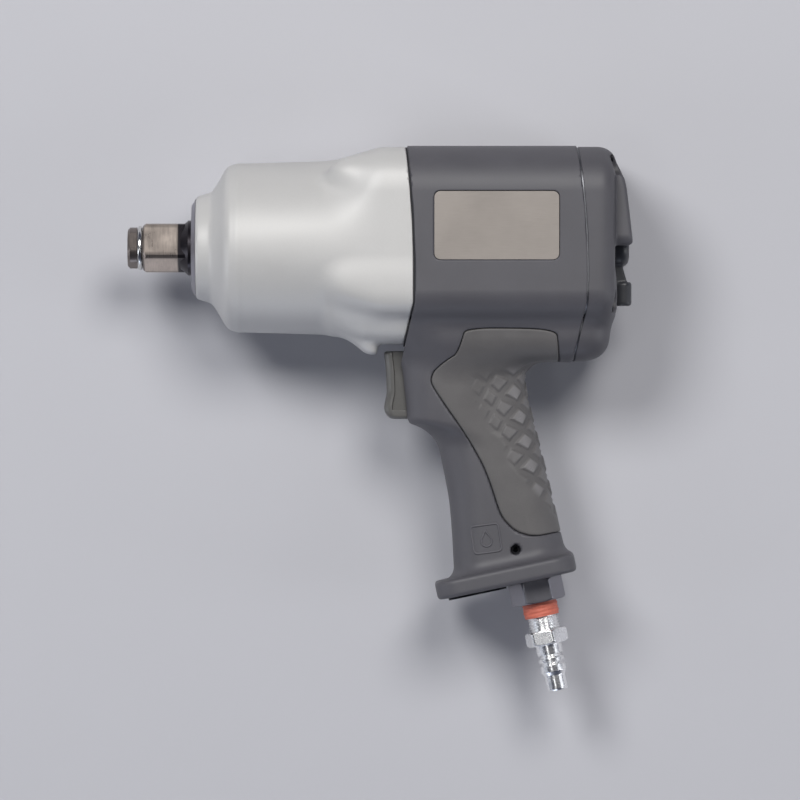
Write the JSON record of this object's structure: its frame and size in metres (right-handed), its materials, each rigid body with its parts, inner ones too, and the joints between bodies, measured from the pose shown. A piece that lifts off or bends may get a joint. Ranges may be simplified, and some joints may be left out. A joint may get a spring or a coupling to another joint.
{
  "type": "air impact wrench",
  "caption": "Pistol-grip air impact wrench with a square drive, hammer case, motor housing, trigger, reverse lever and a quick-coupler air plug.",
  "frame": {"origin": "centre of the square drive's end face, on the drive axis", "axes": "+X from the drive to the rear cover, +Y from the handle to the top of the housing, +Z out of the left side; the tool lies on its flat right side at z = -0.045"},
  "size_m": [0.2519, 0.2724, 0.09],
  "materials": {
    "case_paint": "satin silver-grey paint on cast aluminium",
    "housing_plastic": "fine-textured dark grey glass-filled nylon",
    "grip_rubber": "soft matt brown-grey overmould",
    "plate_metal": "brushed, warm grey",
    "cover_plastic": "fine-textured dark grey",
    "drive_steel": "ground, warm grey",
    "steel": "turned",
    "dark_steel": "black oxide",
    "hardened_steel": "shot-peened",
    "bearing_steel": "polished",
    "iron": "machined",
    "bronze": "turned",
    "rubber": "matt",
    "gasket_fibre": "flat",
    "gasket_metal": "bright sheet",
    "vane_laminate": "linen laminate",
    "plug_plate": "bright plating",
    "sealant": "set thread sealant",
    "felt": "porous pad",
    "trigger_plastic": "satin",
    "spring_steel": "drawn wire"
  },
  "bodies": {
    "tool_body": {"hammer_case": "case_paint", "nose_ring": "dark_steel", "anvil_seal": "rubber", "anvil_bushing": "bronze", "front_gasket": "gasket_fibre", "motor_housing": "housing_plastic", "soft_grip": "grip_rubber", "name_plate_left": "plate_metal", "name_plate_right": "plate_metal", "front_end_plate": "iron", "cylinder": "iron", "rear_end_plate": "iron", "port_plate": "steel", "rear_gasket": "gasket_metal", "rear_cover": "cover_plastic", "cover_screws": "dark_steel", "front_bearing_outer_race": "bearing_steel", "rear_bearing_outer_race": "bearing_steel", "rod_guide": "bronze", "trigger_spring": "spring_steel", "valve_seat": "bronze", "valve_spring": "spring_steel", "inlet_bushing": "dark_steel", "inlet_screen": "bronze", "air_plug": "plug_plate", "thread_sealant": "sealant", "roll_pins": "spring_steel", "exhaust_deflector": "dark_steel", "muffler_pad": "felt"},
    "drive": {"anvil": "drive_steel", "socket_ring": "spring_steel", "ring_cushion": "rubber"},
    "rotor": {"rotor": "steel", "rotor_vanes": "vane_laminate", "hammer_frame": "hardened_steel", "hammer_pins": "bearing_steel", "front_bearing_inner_race": "bearing_steel", "rear_bearing_inner_race": "bearing_steel"},
    "front_hammer": {"front_hammer": "hardened_steel"},
    "rear_hammer": {"rear_hammer": "hardened_steel"},
    "front_balls": {"front_bearing_balls": "bearing_steel"},
    "rear_balls": {"rear_bearing_balls": "bearing_steel"},
    "trigger": {"trigger": "trigger_plastic", "trigger_rod": "steel"},
    "throttle": {"throttle_valve": "steel", "valve_face": "rubber"},
    "reverse": {"reverse_lever": "trigger_plastic", "reverse_valve": "bronze", "lever_screw": "dark_steel"}
  },
  "joints": [
    {"name": "drive_spin", "type": "hinge", "parent": "tool_body", "child": "drive", "pos_m": [0.03, 0, 0], "axis": [1, 0, 0], "continuous": true},
    {"name": "rotor_spin", "type": "hinge", "parent": "tool_body", "child": "rotor", "pos_m": [0.18, 0, 0], "axis": [1, 0, 0], "continuous": true},
    {"name": "front_hammer_swing", "type": "hinge", "parent": "rotor", "child": "front_hammer", "pos_m": [0.079, 0.03, 0], "axis": [1, 0, 0], "range_deg": [-5, 5]},
    {"name": "rear_hammer_swing", "type": "hinge", "parent": "rotor", "child": "rear_hammer", "pos_m": [0.106, -0.03, 0], "axis": [1, 0, 0], "range_deg": [-5, 5]},
    {"name": "front_ball_orbit", "type": "hinge", "parent": "tool_body", "child": "front_balls", "pos_m": [0.144, 0, 0], "axis": [1, 0, 0], "continuous": true},
    {"name": "rear_ball_orbit", "type": "hinge", "parent": "tool_body", "child": "rear_balls", "pos_m": [0.2135, 0, 0], "axis": [1, 0, 0], "continuous": true},
    {"name": "trigger_pull", "type": "slide", "parent": "tool_body", "child": "trigger", "axis": [1, 0, 0], "range_m": [0, 0.006], "stiffness_N_per_m": 1200, "springref_m": -0.004, "deforming": ["trigger_spring", "valve_spring"]},
    {"name": "throttle_tilt", "type": "hinge", "parent": "tool_body", "child": "throttle", "pos_m": [0.1836, -0.10971, 0], "axis": [0, 0, -1], "range_deg": [0, 8.3]},
    {"name": "reverse_turn", "type": "hinge", "parent": "tool_body", "child": "reverse", "pos_m": [0.246, 0, 0], "axis": [1, 0, 0], "range_deg": [-45, 45]}
  ],
  "couplings": [
    {"joint": "front_ball_orbit", "follows": "rotor_spin", "ratio": 0.4077},
    {"joint": "rear_ball_orbit", "follows": "rotor_spin", "ratio": 0.4068},
    {"joint": "throttle_tilt", "follows": "trigger_pull", "rad_per_m": 24.14}
  ]
}
